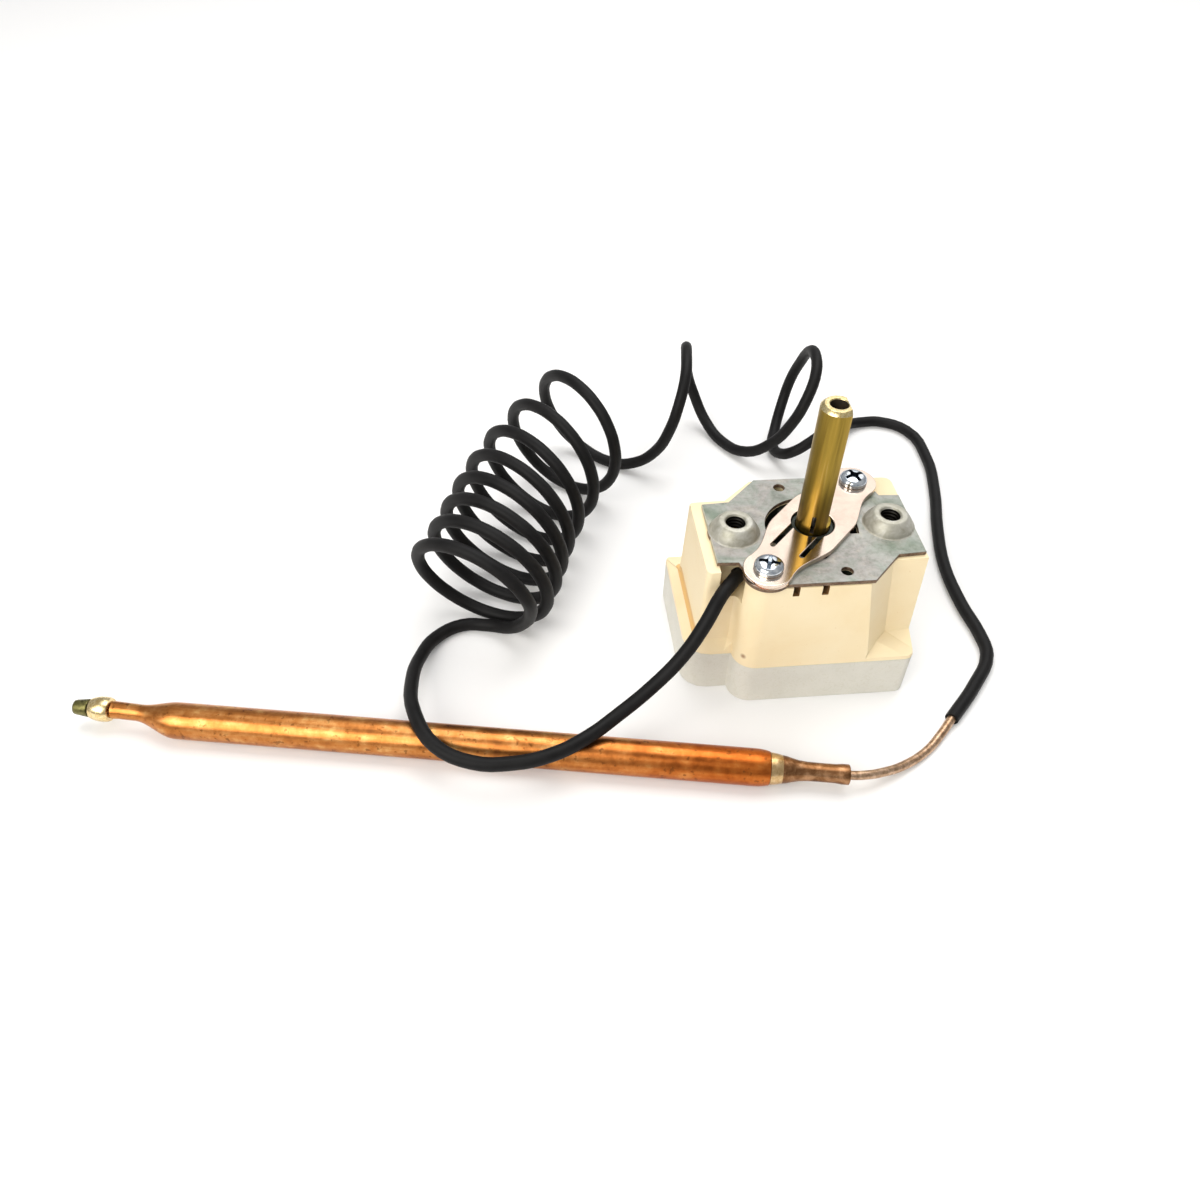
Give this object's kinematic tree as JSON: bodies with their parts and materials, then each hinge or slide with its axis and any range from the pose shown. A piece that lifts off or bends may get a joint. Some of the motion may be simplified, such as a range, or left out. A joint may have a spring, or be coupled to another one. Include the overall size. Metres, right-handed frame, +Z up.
{
  "type": "capillary thermostat",
  "caption": "Capillary thermostat: moulded switch body with steel mounting plate and bearing strap, hollow D shaft, and a coiled sheathed capillary ending in a brazed copper sensing bulb.",
  "frame": {"origin": "middle of the underside of the switch body's bounding box, without the capillary and the bulb, in the plane that the body stands on", "axes": "+Z up along the D shaft, +X along the line of the two tapped bosses towards the side without the capillary, -Y towards the face that the bulb lies in front of"},
  "size_m": [0.1827, 0.1151, 0.0551],
  "materials": {
    "grey_moulding": "matt moulded thermoset",
    "cream_thermoset": "satin moulded thermoset",
    "galvanised_steel": "dull galvanised sheet",
    "nickel_plate": "bright nickel plate",
    "zinc_screw": "bright zinc plate",
    "brass": "stamped and turned brass",
    "shaft_brass": "turned brass with drawing marks",
    "phosphated_steel": "black phosphate",
    "capsule_steel": "pressed stainless sheet",
    "white_ceramic": "glazed ceramic",
    "spring_bronze": "rolled spring strip",
    "silver": "silver contact",
    "black_sheath": "satin black heat-shrunk sheath",
    "bare_capillary": "drawn copper capillary",
    "brazed_copper": "heat-tinted copper",
    "braze_ring": "silver braze",
    "drawn_copper": "drawn copper with heat tint",
    "brass_filler": "bright braze"
  },
  "bodies": {
    "switch_body": {"base": "grey_moulding", "housing": "cream_thermoset", "mounting_plate": "galvanised_steel", "bearing_strap": "nickel_plate", "strap_screw_front": "zinc_screw", "strap_screw_back": "zinc_screw", "terminal_common": "brass", "terminal_load": "brass", "blade_rivet": "brass", "fixed_contact": "silver", "capillary_tail": "bare_capillary", "capillary_lead": "black_sheath", "capillary_coil": "black_sheath", "capillary_run": "black_sheath", "capillary_bare_end": "bare_capillary", "bulb_neck": "brazed_copper", "bulb_ring": "braze_ring", "bulb": "drawn_copper", "bulb_braze": "brass_filler", "bulb_tail": "brass_filler"},
    "spindle": {"shaft": "shaft_brass", "spindle_hub": "phosphated_steel", "adjusting_spindle": "brass", "calibration_screw": "zinc_screw"},
    "capsule": {"capsule_carrier": "brass", "diaphragm_capsule": "capsule_steel", "push_pin": "white_ceramic"},
    "blade": {"snap_blade": "spring_bronze", "moving_contact": "silver"}
  },
  "joints": [
    {"name": "spindle_turn", "type": "hinge", "parent": "switch_body", "child": "spindle", "pos_m": [0.00175, 0, 0.03], "axis": [0, 0, -1], "range_deg": [0, 270]},
    {"name": "capsule_travel", "type": "slide", "parent": "switch_body", "child": "capsule", "axis": [0, 0, -1], "range_m": [0, 0.00038]},
    {"name": "blade_swing", "type": "hinge", "parent": "switch_body", "child": "blade", "pos_m": [-0.00925, 0, 0.01055], "axis": [0, 1, 0], "range_deg": [0, 1.96]}
  ],
  "couplings": [
    {"joint": "capsule_travel", "follows": "spindle_turn", "m_per_rad": 0.000079},
    {"joint": "blade_swing", "follows": "spindle_turn", "ratio": 0.00722}
  ]
}
